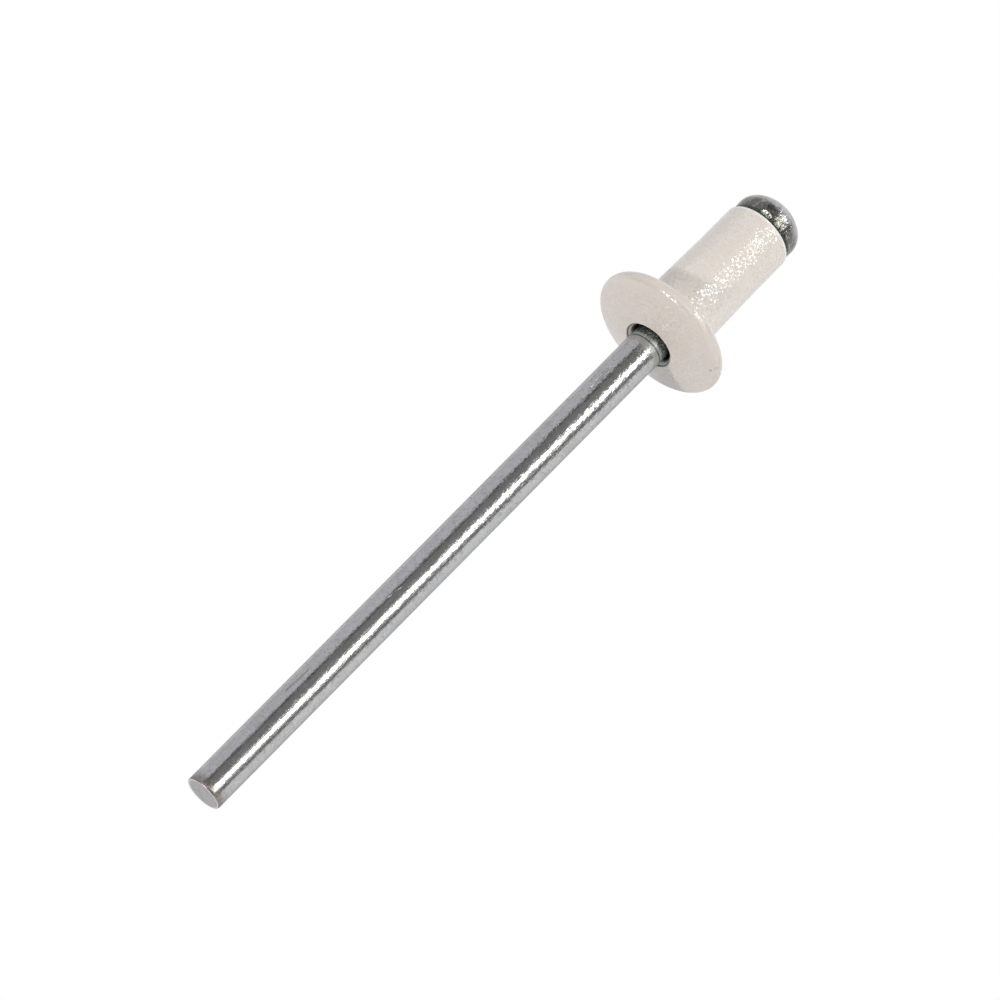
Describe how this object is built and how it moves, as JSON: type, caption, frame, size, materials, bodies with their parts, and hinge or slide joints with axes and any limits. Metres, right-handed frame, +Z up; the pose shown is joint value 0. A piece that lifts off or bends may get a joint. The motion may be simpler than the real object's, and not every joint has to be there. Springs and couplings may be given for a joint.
{
  "type": "blind rivet",
  "caption": "Unset open-end blind rivet: a painted tubular body with a domed flange on a long steel mandrel, whose round head bears on the body's tail end.",
  "frame": {"origin": "on the floor that the rivet lies on, below the middle of its bounding box", "axes": "+X from the stem's tip towards the mandrel's head, +Z up; the rivet's own axis rises 4.26 degrees towards +X, because it rests on the flange's rim and on the stem's tip"},
  "size_m": [0.0412, 0.0066, 0.0066],
  "materials": {
    "body_paint": "off-white powder paint, semi-gloss, with a fine orange-peel texture",
    "mandrel_steel": "bright drawn steel with a thin zinc plating, scored along its length"
  },
  "bodies": {
    "root": {"rivet_body": "body_paint", "mandrel": "mandrel_steel"}
  },
  "joints": []
}
